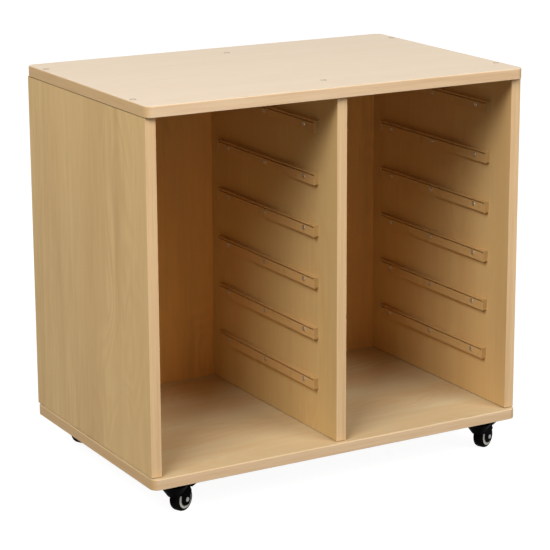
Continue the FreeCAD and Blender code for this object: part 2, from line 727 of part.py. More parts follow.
def wheel_tyre(label, x, y):
    """The tyre on the hub's rim, with rounded shoulders in two slopes."""
    turned_about_axle(label, x, y, both_sides([
        ("rim_radius", WHEEL_FACE), ("tyre_side_radius", WHEEL_FACE),
        ("tyre_shoulder_radius", WHEEL_FACE + " - tyre_shoulder_break"),
        ("wheel_radius", WHEEL_FACE + " - tyre_shoulder")]))


def build_castors():
    for end, y in (("front", "-" + SWIVEL_Y), ("rear", SWIVEL_Y)):
        for side, x in (("left", "-" + SWIVEL_X), ("right", SWIVEL_X)):
            name = "%s_%s_castor" % (end, side)
            castor_plate(name + "_plate", x, y)
            castor_hood(name + "_hood", x, y, braked=end == "front")
            castor_axle(name + "_axle", x, y)
            wheel_hub(name + "_hub", x, y)
            wheel_tyre(name + "_tyre", x, y)
            if end == "front":
                brake_pedal(name + "_brake_pedal", x, y)


build_carcass()
build_runners()
build_fasteners()
build_castors()
doc.recompute()

for item in doc.Objects:
    if "Invalid" in item.State or "Error" in item.State:
        raise RuntimeError("%s did not build: %s" % (item.Label, item.State))
for piece in pieces:
    if piece.Shape.isNull() or not piece.Shape.isValid() or not piece.Shape.Solids:
        raise RuntimeError("%s has no valid shape" % piece.Label)

os.makedirs("parts", exist_ok=True)
for piece in pieces:
    piece.Shape.exportStep("parts/%s.step" % piece.Label)
print("wrote", len(pieces), "sub-parts")
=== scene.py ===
import math

import bmesh
import bpy
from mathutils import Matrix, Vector


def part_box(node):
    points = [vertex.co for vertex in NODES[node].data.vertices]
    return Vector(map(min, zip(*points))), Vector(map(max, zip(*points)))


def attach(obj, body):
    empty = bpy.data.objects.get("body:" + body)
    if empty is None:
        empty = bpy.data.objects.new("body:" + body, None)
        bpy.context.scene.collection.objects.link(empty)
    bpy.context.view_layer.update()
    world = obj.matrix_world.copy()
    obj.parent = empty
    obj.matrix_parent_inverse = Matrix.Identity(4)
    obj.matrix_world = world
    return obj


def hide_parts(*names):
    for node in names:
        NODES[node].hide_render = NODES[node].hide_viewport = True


# Dresses a mobile tray storage cabinet: laminated boards with edge strips, moulded tray
# runners, screws with driver recesses, and hooded castors with brakes. Metres, in the frame
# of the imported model: X along the front, Y from front to back, +Z up, the floor at 0.

bl_info = {
    "name": "Tray cabinet dresser",
    "version": (1, 0, 0),
    "blender": (4, 5, 0),
    "location": "View3D > Sidebar > Tray cabinet",
    "description": "Builds the finished surfaces of a mobile tray storage cabinet",
    "category": "Object",
}

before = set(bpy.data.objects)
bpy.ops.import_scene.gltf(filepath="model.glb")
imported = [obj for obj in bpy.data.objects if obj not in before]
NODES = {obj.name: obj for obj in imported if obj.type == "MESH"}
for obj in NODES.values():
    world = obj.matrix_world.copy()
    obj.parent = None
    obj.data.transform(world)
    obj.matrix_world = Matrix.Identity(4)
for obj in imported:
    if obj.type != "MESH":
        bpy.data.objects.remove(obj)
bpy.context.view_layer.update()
MM = 0.001
CABINET = "cabinet"
BAY_WALLS = ("left_bay_outer", "left_bay_inner", "right_bay_inner", "right_bay_outer")
TURNED_WALLS = ("left_bay_inner", "right_bay_outer")
CASTORS = ("front_left_castor", "front_right_castor", "rear_left_castor", "rear_right_castor")
CLOSE = 0.01 * MM  # places nearer than this are the same


def srgb(red, green, blue):
    """A colour picked on a screen, 0 to 255, as the linear values that a shader takes."""
    def linear(level):
        level /= 255
        return level / 12.92 if level <= 0.04045 else ((level + 0.055) / 1.055) ** 2.4
    return tuple(linear(level) for level in (red, green, blue))


# ------------------------------------------------------------------------------ settings

def colour(name, description, default):
    return bpy.props.FloatVectorProperty(
        name=name, description=description, subtype="COLOR", size=3, min=0, max=1, default=default)


def length(name, description, millimetres):
    return bpy.props.FloatProperty(
        name=name, description=description, subtype="DISTANCE", unit="LENGTH",
        min=0, default=millimetres * MM)


class BoardSettings(bpy.types.PropertyGroup):
    """Sizes and colours of the laminated boards."""
    top: colour("Top", "Colour of the top's laminate", srgb(230, 208, 179))
    base: colour("Base", "Colour of the base's laminate", srgb(212, 193, 154))
    left: colour("Left side", "Colour of the left side's laminate", srgb(231, 195, 134))
    # The boards are one beech laminate. The divider's and right side's darker colours are painted shade
    # for the inside of the bays; the back's lighter colour is painted light, brighter than the
    # laminate, to lift the shaded back of the bays.
    divider: colour("Divider", "Colour of the divider's laminate", srgb(207, 177, 121))
    right: colour("Right side", "Colour of the right side's laminate", srgb(212, 178, 122))
    back: colour("Back", "Colour of the back panel's laminate", srgb(252, 194, 112))
    grain: colour("Grain", "Colour of the darker grain", srgb(201, 157, 102))
    cover_strip: colour("Cover strip", "Colour of the long edge strips", srgb(237, 205, 167))
    # The end strip colour is painted shade: the cover strip darkened for the shade on the left and
    # right sides.
    shaded_end_strip: colour("End strip", "Colour of the cover boards' end strips", srgb(222, 184, 132))
    edge_strip: colour("Edge strip", "Colour of the uprights' edge strips", srgb(237, 200, 153))
    core: colour("Core", "Colour of the bare chipboard in the holes", srgb(150, 118, 80))
    joint: colour("Joint", "Colour of the shadow where two boards meet", srgb(44, 24, 8))
    corner: length("Corner", "Plan radius of the cover boards' corners", 13.0)
    round_over: length("Round-over", "Radius of the cover boards' upper edges", 2.0)
    under_edge: length("Under edge", "Radius of the cover boards' lower edges", 0.7)
    arris: length("Arris", "Radius of the uprights' edges", 0.5)
    seam: length("Seam", "Height of the dark joint at an upright's end", 0.9)
    heel: length("Heel", "How far an upright's heel stands in at a joint", 0.9)


class RunnerSettings(bpy.types.PropertyGroup):
    """Sizes and colours of the tray runners and their screws."""
    moulding: colour("Moulding", "Colour of the runner plastic", srgb(201, 163, 108))
    web: length("Web", "Thickness of the web against the wall", 6.4)
    ledge: length("Ledge", "Thickness of the ledge on top", 2.0)
    end_wall: length("End wall", "Thickness of the wall at each end", 2.5)
    lip: length("Lip", "Depth of the lip that hangs from the ledge", 0.4)
    lip_width: length("Lip width", "Width of the lip", 1.2)
    groove: length("Groove", "Height of the groove under the ledge", 3.0)
    groove_depth: length("Groove depth", "Depth of the groove in the web", 3.2)
    corner: length("Corner", "Radius of the lower corners at the ends", 2.4)
    edge: length("Edge", "Radius of the moulded edges", 0.35)
    seat: length("Seat", "Radius of the raised seats for the screws", 5.2)
    spread: length("Spread", "Distance from the middle screw to the outer ones", 130.0)
    steel: colour("Steel", "Colour of the zinc-plated screws", srgb(212, 210, 202))
    head: length("Head", "Radius of the screw heads", 3.9)
    dome: length("Dome", "Height of the screw heads", 1.5)
    recess: length("Recess", "Depth of the driver recess in a screw head", 1.0)


class CapSettings(bpy.types.PropertyGroup):
    """Sizes and colours of the caps over the joining screws."""
    cap: colour("Cap", "Colour of the caps", srgb(132, 120, 104))
    # The dimple colour is painted shade in the cap's sunk middle.
    shaded_dimple: colour("Dimple", "Colour of a cap's sunk middle", srgb(64, 56, 48))
    radius: length("Radius", "Radius of a cap", 5.0)
    rim: length("Rim", "Width of a cap's flat rim", 0.7)
    sink: length("Sink", "Depth of a cap's middle and width of its slope", 0.6)


class CastorSettings(bpy.types.PropertyGroup):
    """Sizes and colours of the castors."""
    hood: colour("Hood", "Colour of the moulded hoods and pedals", srgb(6, 5, 5))
    tyre: colour("Tyre", "Colour of the tyres", srgb(22, 20, 17))
    dust: colour("Dust", "Colour of the dust on the tyres", srgb(40, 37, 33))
    hub: colour("Hub", "Colour of the wheel hubs", srgb(214, 211, 201))
    steel: colour("Steel", "Colour of the plates and axles", srgb(150, 150, 148))
    fixings: colour("Fixings", "Colour of the plate and joining screws", srgb(168, 166, 160))
    edge: length("Edge", "Radius of the hoods' edges", 0.9)


def power(name, description, watts):
    return bpy.props.FloatProperty(
        name=name, description=description, subtype="POWER", unit="POWER", min=0, default=watts)


class StageSettings(bpy.types.PropertyGroup):
    """The lights, the floor and the camera."""
    key: power("Key", "Power of the light over the front left", 290.0)
    fill: power("Fill", "Power of the light over the front right", 208.0)
    sky: bpy.props.FloatProperty(
        name="Sky", description="Strength of the even light from all round", min=0, default=0.06)
    floor: bpy.props.FloatProperty(
        name="Floor", description="Glow that keeps the floor pale in the picture",
        min=0, max=1, default=0.94)


# --------------------------------------------------------------------------- edit helpers

def deselect_all():
    if bpy.context.object and bpy.context.object.mode != "OBJECT":
        bpy.ops.object.mode_set(mode="OBJECT")
    bpy.ops.object.select_all(action="DESELECT")


def pick(*objects):
    """Select these objects alone; the last one is active."""
    deselect_all()
    for item in objects:
        item.select_set(True)
    bpy.context.view_layer.objects.active = objects[-1]


def settle(item):
    """Put the object's place, turn and scale into its mesh."""
    pick(item)
    bpy.ops.object.transform_apply(location=True, rotation=True, scale=True)
    return item


def new_block(name, low, high):
    """A cube between two corners, to be shaped further."""
    low, high = Vector(low), Vector(high)
    deselect_all()
    bpy.ops.mesh.primitive_cube_add(size=1, location=(low + high) / 2)
    item = bpy.context.object
    item.name = name
    item.scale = high - low
    return settle(item)


def new_disc(name, centre, radius, depth, axis="z", sides=32):
    """A cylinder with its middle at centre, to be shaped further."""
    turn = {"x": (0, math.pi / 2, 0), "y": (math.pi / 2, 0, 0), "z": (0, 0, 0)}[axis]
    deselect_all()
    bpy.ops.mesh.primitive_cylinder_add(
        vertices=sides, radius=radius, depth=depth, location=centre, rotation=turn)
    item = bpy.context.object
    item.name = name
    return settle(item)


def edit(item, kind, chosen):
    """Enter edit mode with the faces or edges selected for which chosen is true."""
    pick(item)
    bpy.ops.object.mode_set(mode="EDIT")
    bpy.ops.mesh.select_mode(type=kind)
    bpy.ops.mesh.select_all(action="DESELECT")
    shape = bmesh.from_edit_mesh(item.data)
    for part in (shape.faces if kind == "FACE" else shape.edges):
        if chosen(part):
            part.select_set(True)
    bmesh.update_edit_mesh(item.data)


def edit_all(item):
    """Enter edit mode with the whole mesh selected."""
    pick(item)
    bpy.ops.object.mode_set(mode="EDIT")
    bpy.ops.mesh.select_all(action="SELECT")


def leave_edit():
    bpy.ops.object.mode_set(mode="OBJECT")


def bevel_selected(radius, segments):
    bpy.ops.mesh.bevel(
        offset=radius, offset_type="OFFSET", segments=segments, profile=0.5, affect="EDGES")


def slice_mesh(item, *planes):
    """Cut new edges into the mesh where each plane crosses it, given by a place and a normal."""
    for place, normal in planes:
        edit_all(item)
        bpy.ops.mesh.bisect(plane_co=place, plane_no=normal)
        leave_edit()


def pull_out(item, move, chosen):
    """Extrude by move the faces for which chosen is true of the face and its middle."""
    edit(item, "FACE", lambda face: chosen(face, face.calc_center_median()))
    bpy.ops.mesh.extrude_region_move(TRANSFORM_OT_translate={"value": move})
    leave_edit()


def soften(item, radius, segments=2):
    """Round every edge sharper than 30 degrees and shade the rest smooth."""
    modifier = item.modifiers.new("Soften", "BEVEL")
    modifier.width = radius
    modifier.segments = segments
    modifier.limit_method = "ANGLE"
    modifier.angle_limit = math.radians(30)
    pick(item)
    bpy.ops.object.modifier_apply(modifier=modifier.name)
    smooth(item)


def smooth(item, angle=35):
    """Shade smooth across edges blunter than angle, with the wide faces kept flat."""
    pick(item)
    bpy.ops.object.shade_smooth_by_angle(angle=math.radians(angle))
    modifier = item.modifiers.new("Flat faces", "WEIGHTED_NORMAL")
    modifier.keep_sharp = True
    bpy.ops.object.modifier_apply(modifier=modifier.name)


def flatten(item, least):
    """Shade the faces with more area than least flat."""
    pick(item)
    bpy.ops.mesh.customdata_custom_splitnormals_clear()
    edit(item, "FACE", lambda face: face.calc_area() > least)
    bpy.ops.mesh.faces_shade_flat()
    leave_edit()


def cut(item, cutter):
    """Take the cutter's volume out of the item and delete the cutter."""
    modifier = item.modifiers.new("Cut", "BOOLEAN")
    modifier.operation = "DIFFERENCE"
    modifier.solver = "EXACT"
    modifier.object = cutter
    pick(item)
    bpy.ops.object.modifier_apply(modifier=modifier.name)
    bpy.data.objects.remove(cutter, do_unlink=True)


def join(name, items):
    """One piece from several."""
    pick(*items)
    if len(items) > 1:
        bpy.ops.object.join()
    item = bpy.context.object
    item.name = name
    return item


def copy_of(item, name, move, turn):
    """A copy with its own mesh, turned about the vertical through the origin, then moved."""
    twin = item.copy()
    twin.data = item.data.copy()
    twin.name = name
    bpy.context.collection.objects.link(twin)
    twin.rotation_euler = (0, 0, turn)
    twin.location = move
    return settle(twin)


def likeness(node, name, rings=False):
    """A copy of a CAD node with its loose triangles merged, into rings of four-sided faces
    where it is a plain round piece and into large flat faces elsewhere."""
    source = NODES[node]
    item = source.copy()
    item.data = source.data.copy()
    item.parent = None
    item.hide_render = False
    item.hide_viewport = False
    item.name = name
    bpy.context.collection.objects.link(item)
    for key in list(item.keys()):
        if key.startswith("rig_"):
            del item[key]
    edit_all(item)
    bpy.ops.mesh.remove_doubles(threshold=0.00001)
    if rings:
        bpy.ops.mesh.tris_convert_to_quads(face_threshold=math.radians(2), shape_threshold=math.pi)
    else:
        bpy.ops.mesh.dissolve_limited(angle_limit=math.radians(2))
    leave_edit()
    return item


def finish_piece(item, body, node):
    """Ride the piece on its body and stand it for its CAD node, which is hidden."""
    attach(item, body)
    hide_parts(node)


def dress(item, *materials):
    """Give the piece these materials, with the first one all over."""
    item.data.materials.clear()
    for material in materials:
        item.data.materials.append(material)
    for face in item.data.polygons:
        face.material_index = 0


def give_material(item, index, chosen):
    """Show the material at this index on the faces for which chosen is true."""
    for face in item.data.polygons:
        if chosen(face):
            face.material_index = index


# ------------------------------------------------------------------------------ materials

class Shader:
    """A material's node tree, with the few steps that the finishes share."""

    def __init__(self, name):
        self.material = bpy.data.materials.new(name)
        self.material.use_nodes = True
        self.tree = self.material.node_tree
        self.surface = self.tree.nodes["Principled BSDF"]
        self.place = self.tree.nodes.new("ShaderNodeTexCoord").outputs["Object"]

    def node(self, kind, **settings):
        item = self.tree.nodes.new("ShaderNode" + kind)
        for key, setting in settings.items():
            setattr(item, key, setting)
        return item

    def join(self, output, socket):
        self.tree.links.new(output, socket)

    def stretched(self, scale):
        """Object coordinates scaled along each axis."""
        item = self.node("Mapping")
        item.inputs["Scale"].default_value = scale
        self.join(self.place, item.inputs["Vector"])
        return item.outputs["Vector"]

    def noise(self, vector, scale, detail=3.0, rough=0.5, distortion=0.0):
        """Soft cloudy noise, from 0 to 1."""
        item = self.node("TexNoise")
        item.inputs["Scale"].default_value = scale
        item.inputs["Detail"].default_value = detail
        item.inputs["Roughness"].default_value = rough
        item.inputs["Distortion"].default_value = distortion
        self.join(vector, item.inputs["Vector"])
        return item.outputs["Fac"]

    def drawn_out(self, axes, lengthwise, across, **kind):
        """Noise with so many features in a metre along these axes and across them."""
        return self.noise(self.stretched(along(axes, lengthwise, across)), 1.0, **kind)

    def ramp(self, factor, low, high, start, end):
        """Factor between start and end, spread from low to high."""
        item = self.node("MapRange")
        item.inputs["From Min"].default_value = start
        item.inputs["From Max"].default_value = end
        item.inputs["To Min"].default_value = low
        item.inputs["To Max"].default_value = high
        self.join(factor, item.inputs["Value"])
        return item.outputs["Result"]

    def blend(self, factor, first, second):
        """Two colours mixed by a factor; each is a socket or a plain colour."""
        item = self.node("Mix", data_type="RGBA")
        self.feed(item.inputs[0], factor)
        self.feed(item.inputs[6], first)
        self.feed(item.inputs[7], second)
        return item.outputs[2]

    def maths(self, operation, first, second=0.0):
        """A sum with one or two numbers; each is a socket or a plain number."""
        item = self.node("Math", operation=operation)
        self.feed(item.inputs[0], first)
        self.feed(item.inputs[1], second)
        return item.outputs[0]

    def feed(self, socket, source):
        """Link the socket to another, or set it to a plain number or colour."""
        if isinstance(source, bpy.types.NodeSocket):
            self.join(source, socket)
        elif isinstance(source, (int, float)):
            socket.default_value = source
        else:
            socket.default_value = (*source, 1)

    def bump(self, height, distance, strength=1.0):
        """Raise and sink the surface by a height between 0 and 1."""
        item = self.node("Bump")
        item.inputs["Distance"].default_value = distance
        item.inputs["Strength"].default_value = strength
        self.join(height, item.inputs["Height"])
        self.join(item.outputs["Normal"], self.surface.inputs["Normal"])

    def set(self, **settings):
        """Feed the surface's inputs, named with an underscore for each space."""
        for key, setting in settings.items():
            self.feed(self.surface.inputs[key.replace("_", " ")], setting)


def along(axes, lengthwise, across):
    """A scale that stretches a pattern along one axis, or evenly along two."""
    return tuple(lengthwise if axis in axes else across for axis in "xyz")


def laminate(name, base, dark, axis, shift, figure, gloss):
    """Printed beech on a satin laminate, its grain along one axis: wide soft bands, patches of
    nested crown lines and faint fibres, all scaled by figure. Gloss is the surface's shine."""
    shader = Shader(name)
    offset = shader.node("Mapping")
    offset.inputs["Location"].default_value = (shift, shift * 0.7, shift * 1.3)
    shader.join(shader.place, offset.inputs["Vector"])
    shader.place = offset.outputs["Vector"]
    band = shader.drawn_out(axis, 0.8, 15.0, detail=3.0, distortion=0.6)
    field = shader.drawn_out(axis, 2.6, 8.0, detail=2.0, rough=0.45, distortion=0.6)
    crown = shader.maths("ADD", shader.maths("SINE", shader.maths("MULTIPLY", field, 105.0)), 1.0)
    patch = shader.drawn_out(axis, 1.3, 9.0, detail=1.0)
    fibre = shader.drawn_out(axis, 11.0, 150.0, detail=3.0, rough=0.55)
    cloud = shader.drawn_out(axis, 1.6, 3.4, detail=2.0)
    zone = shader.ramp(patch, 0.0, 0.14 * figure, 0.44, 0.6)
    light = tuple(min(1.0, level * 1.07) for level in base)
    tone = shader.blend(shader.ramp(band, 0.0, 0.42 * figure, 0.4, 0.62), base, dark)
    tone = shader.blend(shader.maths("MULTIPLY", crown, zone), tone, dark)
    tone = shader.blend(shader.ramp(fibre, 0.0, 0.24 * figure, 0.42, 0.68), tone, dark)
    tone = shader.blend(shader.ramp(cloud, 0.0, 0.4 * figure, 0.45, 0.65), tone, light)
    shader.set(Base_Color=tone, Roughness=shader.ramp(fibre, 0.4, 0.48, 0.3, 0.7),
               Specular_IOR_Level=gloss)
    shader.bump(fibre, 0.00003, 0.5)
    return shader.material


def edge_strip(name, base, dark, axes, ends=None):
    """Plastic edge strip printed to match, its grain along these axes: one for an upright edge,
    two for the rim of a level board. A rim passes into the darker colour ends round its corners,
    which is painted shade on the strips along the board's left and right sides."""
    shader = Shader(name)
    if ends:
        split = shader.node("SeparateXYZ")
        shader.join(shader.place, split.inputs[0])
        from_middle = shader.maths("ABSOLUTE", split.outputs["X"])
        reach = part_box("top_panel")[1].x
        # Painted shade: the strip turns darker over its last 12 mm at the left and right ends.
        turn = shader.ramp(from_middle, 0.0, 1.0, reach - 12 * MM, reach - 1 * MM)
        base = shader.blend(turn, base, ends)
    fibre = shader.drawn_out(axes, 12.0, 420.0, detail=3.0, rough=0.6)
    band = shader.drawn_out(axes, 2.0, 90.0, detail=2.0)
    tone = shader.blend(shader.ramp(band, 0.0, 0.3, 0.4, 0.7), base, dark)
    tone = shader.blend(shader.ramp(fibre, 0.0, 0.26, 0.45, 0.7), tone, dark)
    shader.set(Base_Color=tone, Roughness=shader.ramp(fibre, 0.38, 0.5, 0.3, 0.7),
               Specular_IOR_Level=0.12)
    shader.bump(fibre, 0.00003, 0.5)
    return shader.material


def moulded(name, base, roughness, grain=1800.0, depth=0.00003, wear=0.12, gloss=0.3, ior=1.5):
    """A moulded plastic with a fine spark texture and a little handling wear."""
    shader = Shader(name)
    spark = shader.noise(shader.place, grain, 2.0, 0.6)
    patch = shader.noise(shader.place, 110.0, 4.0, 0.55)
    light = tuple(min(1.0, level * (1 + wear) + 0.002) for level in base)
    shader.set(Base_Color=shader.blend(shader.ramp(patch, 0.0, 1.0, 0.35, 0.7), base, light),
               Roughness=shader.ramp(patch, roughness - 0.03, roughness + 0.04, 0.3, 0.7),
               Specular_IOR_Level=gloss, IOR=ior)
    shader.bump(spark, depth, 0.6)
    return shader.material


def plated(name, base):
    """Zinc-plated steel with a faint mottle and drawn scratches."""
    shader = Shader(name)
    mottle = shader.noise(shader.place, 420.0, 3.0, 0.6)
    scratch = shader.noise(shader.stretched((180.0, 2600.0, 2600.0)), 1.0, 2.0)
    dark = tuple(level * 0.72 for level in base)
    shader.set(Base_Color=shader.blend(shader.ramp(mottle, 0.0, 1.0, 0.35, 0.7), base, dark),
               Roughness=shader.ramp(scratch, 0.24, 0.42, 0.3, 0.7), Metallic=1.0)
    shader.bump(scratch, 0.00002, 0.5)
    return shader.material


def rubbery(name, base, dust):
    """A tyre: satin rubber with dust in its texture and a scuffed tread."""
    shader = Shader(name)
    grit = shader.noise(shader.place, 900.0, 3.0, 0.6)
    scuff = shader.noise(shader.place, 60.0, 4.0, 0.6)
    shader.set(Base_Color=shader.blend(shader.ramp(scuff, 0.0, 0.5, 0.5, 0.8), base, dust),
               Roughness=shader.ramp(scuff, 0.38, 0.62, 0.3, 0.7), IOR=1.05)
    shader.bump(grit, 0.00006, 0.6)
    return shader.material


def chipboard(name, base):
    """Bare chipboard inside the screw holes."""
    shader = Shader(name)
    chips = shader.node("TexVoronoi")
    chips.inputs["Scale"].default_value = 700.0
    shader.join(shader.place, chips.inputs["Vector"])
    chip = chips.outputs["Distance"]
    dark = tuple(level * 0.5 for level in base)
    shader.set(Base_Color=shader.blend(shader.ramp(chip, 0.0, 1.0, 0.1, 0.9), base, dark),
               Roughness=0.85)
    shader.bump(chip, 0.0003)
    return shader.material


def shadowed(name, base):
    """Painted shadow: the dull dark bottom of the joint where two boards meet."""
    shader = Shader(name)
    grit = shader.noise(shader.place, 1500.0, 2.0)
    dark = tuple(level * 0.6 for level in base)
    shader.set(Base_Color=shader.blend(grit, base, dark), Roughness=0.7, Specular_IOR_Level=0.0)
    shader.bump(grit, 0.00003)
    return shader.material


# ------------------------------------------------------------------------------- boards

# How far the heel's walls lean in, and how near a board's top or bottom its laminate reaches.
HEEL_DRAFT = 0.05 * MM
LAMINATE_SKIN = 0.1 * MM


def is_upright_edge(edge):
    run = edge.verts[0].co - edge.verts[1].co
    return abs(run.z) > abs(run.x) + abs(run.y)


def lies_at(edge, level):
    return all(abs(vert.co.z - level) < CLOSE / 10 for vert in edge.verts)


def cover_board(name, node, settings):
    """A top or base board with round corners and rounded edges."""
    low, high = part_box(node)
    board = new_block(name, low, high)
    edit(board, "EDGE", is_upright_edge)
    bevel_selected(settings.corner, 10)
    leave_edit()
    for level, reach in ((high.z, settings.round_over), (low.z, settings.under_edge)):
        edit(board, "EDGE", lambda edge: lies_at(edge, level))
        bevel_selected(reach, 4)
        leave_edit()
    return board


def upright_board(name, node, settings):
    """A side, divider or back board with eased edges. Its face stops a hair short of the boards
    that it meets, and a narrower heel at each end closes the joint."""
    low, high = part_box(node)
    seam = Vector((0, 0, settings.seam))
    board = new_block(name, low + seam, high - seam)
    edit(board, "EDGE", lambda edge: True)
    bevel_selected(settings.arris, 2)
    leave_edit()
    edit(board, "FACE", lambda face: abs(face.normal.z) > 0.95)
    bpy.ops.mesh.inset(thickness=settings.heel)
    bpy.ops.mesh.inset(thickness=HEEL_DRAFT, depth=settings.seam)
    leave_edit()
    return board


def on_rim(face, low, high, width):
    """Whether a face is within this width of a board's rim, and isn't level."""
    return any(min(face.center[axis] - low[axis], high[axis] - face.center[axis]) < width
               and abs(face.normal[axis]) > 0.01 for axis in (0, 1))


class CABINET_OT_cover_boards(bpy.types.Operator):
    """Build the top and base boards with their edge strips"""
    bl_idname = "cabinet.cover_boards"
    bl_label = "Cover boards"

    def execute(self, context):
        settings = context.scene.cabinet_boards
        # The strips at the left and right ends get painted shade from the end colour.
        strip = edge_strip("cover_edge_strip", settings.cover_strip, settings.grain, "xy",
                           settings.shaded_end_strip)
        core = chipboard("board_core", settings.core)
        rim = settings.corner + 1 * MM
        for side, tint, shift, figure, gloss in (("top", settings.top, 0.0, 0.13, 0.5),
                                                 ("base", settings.base, 3.7, 0.9, 0.4)):
            node = side + "_panel"
            low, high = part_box(node)
            board = cover_board(side + "_board", node, settings)
            if side == "base":
                sink_screw_holes(board)
            face = laminate(side + "_laminate", tint, settings.grain, "x", shift, figure, gloss)
            dress(board, face, strip, core)
            give_material(board, 1, lambda part: on_rim(part, low, high, rim)
                          and abs(part.normal.z) < 0.75)
            give_material(board, 2, lambda part: not on_rim(part, low, high, rim)
                          and low.z + LAMINATE_SKIN < part.center.z < high.z - LAMINATE_SKIN)
            smooth(board)
            finish_piece(board, CABINET, node)
        return {"FINISHED"}


def sink_screw_holes(board):
    """Open the holes under the heads of the base's joining screws, up to their seats."""
    radius = 5.1 * MM
    head = 3.2 * MM
    spare = 2 * MM
    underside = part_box("base_panel")[0].z
    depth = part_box("base_joining_screws")[0].z - underside + head
    cutters = [new_disc("hole_cutter", (x, y, underside + (depth - spare) / 2), radius, depth + spare)
               for x, y in joining_places()]
    cut(board, join("hole_cutters", cutters))


def joining_places():
    """The plan places of the joining screws, from the middle of each solid in their node."""
    return shell_centres(NODES["top_joining_screws"])


def shell_centres(node):
    """The plan centre of each separate solid of a node, left to right and front to back."""
    shape = bmesh.new()
    shape.from_mesh(node.data)
    bmesh.ops.remove_doubles(shape, verts=shape.verts, dist=1e-6)
    waiting = set(shape.verts)
    centres = []
    while waiting:
        stack = [waiting.pop()]
        island = []
        while stack:
            point = stack.pop()
            island.append(point.co.copy())
            for edge in point.link_edges:
                other = edge.other_vert(point)
                if other in waiting:
                    waiting.discard(other)
                    stack.append(other)
        low = Vector(min(co[axis] for co in island) for axis in range(3))
        high = Vector(max(co[axis] for co in island) for axis in range(3))
        centres.append(((low + high) / 2)[:2])
    shape.free()
    return sorted((round(x, 5), round(y, 5)) for x, y in centres)


class CABINET_OT_upright_boards(bpy.types.Operator):
    """Build the sides, the divider and the back board"""
    bl_idname = "cabinet.upright_boards"
    bl_label = "Upright boards"

    def execute(self, context):
        settings = context.scene.cabinet_boards
        strip = edge_strip("upright_edge_strip", settings.edge_strip, settings.grain, "z")
        joint = shadowed("shadowed_joint", settings.joint)
        # Painted shade and light: the divider and right side are darker, and the back lighter, than the
        # one laminate.
        for node, tint, shift in (
                ("left_side", settings.left, 1.3), ("right_side", settings.right, 5.1),
                ("centre_divider", settings.divider, 7.9), ("back_panel", settings.back, 9.4)):
            behind = node == "back_panel"
            board = upright_board(node + "_board", node, settings)
            face = laminate(node + "_laminate", tint, settings.grain, "z", shift, 1.0, 0.1)
            dress(board, face, strip, joint)
            foot, head = (corner.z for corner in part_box(node))
            give_material(board, 1, lambda part: part.normal.y < -0.3 and not behind)
            # Painted shadow: the heels and the board ends in the joints take the dark joint colour.
            give_material(board, 2, lambda part: abs(part.normal.z) > 0.95
                          or not foot + settings.seam < part.center.z < head - settings.seam)
            smooth(board)
            finish_piece(board, CABINET, node)
        return {"FINISHED"}


# ---------------------------------------------------------------------- runners and screws

def screws_along(settings):
    """The places of a runner's screws along its run."""
    return -settings.spread, 0, settings.spread


def runner_places():
    """Each runner's node, the middle of its back and its turn about the vertical."""
    for wall in BAY_WALLS:
        turned = wall in TURNED_WALLS
        for node in sorted(name for name in NODES if name.startswith(wall + "_runner_")):
            low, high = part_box(node)
            middle = (low + high) / 2
            back = Vector((high.x if turned else low.x, middle.y, middle.z))
            yield node, back, math.pi if turned else 0.0


def runner_moulding(settings):
    """One runner about the origin: its back on x = 0, its ledge on top towards +X."""
    low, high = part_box("left_bay_outer_runner_1")
    reach, run, height = high - low
    web = settings.web
    under_ledge = height / 2 - settings.ledge
    groove_foot = under_ledge - settings.groove
    lip_start = reach - settings.lip_width
    wall_start = run / 2 - settings.end_wall
    body = new_block("runner_moulding", (0, -run / 2, -height / 2), (web, run / 2, height / 2))
    slice_mesh(body, ((0, 0, under_ledge), (0, 0, 1)), ((0, wall_start, 0), (0, 1, 0)),
               ((0, -wall_start, 0), (0, 1, 0)))
    pull_out(body, (reach - web, 0, 0), lambda face, middle: face.normal.x > 0.9
             and (middle.z > under_ledge or abs(middle.y) > wall_start))
    slice_mesh(body, ((lip_start, 0, 0), (1, 0, 0)))
    pull_out(body, (0, 0, -settings.lip), lambda face, middle: face.normal.z < -0.9
             and middle.x > lip_start and middle.z > under_ledge - CLOSE)
    slice_mesh(body, ((0, 0, groove_foot), (0, 0, 1)))
    pull_out(body, (-settings.groove_depth, 0, 0), lambda face, middle: face.normal.x > 0.9
             and abs(middle.x - web) < CLOSE and middle.z > groove_foot)
    edit(body, "EDGE", lambda edge: all(vert.co.z < CLOSE - height / 2
                                        and abs(vert.co.y) > run / 2 - CLOSE for vert in edge.verts))
    bevel_selected(settings.corner, 4)
    leave_edit()
    edit_all(body)
    bpy.ops.mesh.dissolve_limited(angle_limit=math.radians(1))
    leave_edit()
    soften(body, settings.edge)
    seats = []
    for y in screws_along(settings):
        seat = new_disc("runner_seat", (web, y, 0), settings.seat, 0.4 * MM, "x", 24)
        soften(seat, 0.3 * MM)
        seats.append(seat)
    runner = join("runner_moulding", [body] + seats)
    flatten(runner, 8 * MM * MM)
    return runner


class CABINET_OT_tray_runners(bpy.types.Operator):
    """Mould one tray runner and set a copy on each level of the four bay walls"""
    bl_idname = "cabinet.tray_runners"
    bl_label = "Tray runners"

    def execute(self, context):
        settings = context.scene.cabinet_runners
        plastic = moulded("runner_plastic", settings.moulding, 0.3, grain=900.0, wear=0.08, gloss=0.4)
        pattern = runner_moulding(settings)
        dress(pattern, plastic)
        for node, back, turn in runner_places():
            finish_piece(copy_of(pattern, node + "_moulding", back, turn), CABINET, node)
        bpy.data.objects.remove(pattern, do_unlink=True)
        return {"FINISHED"}


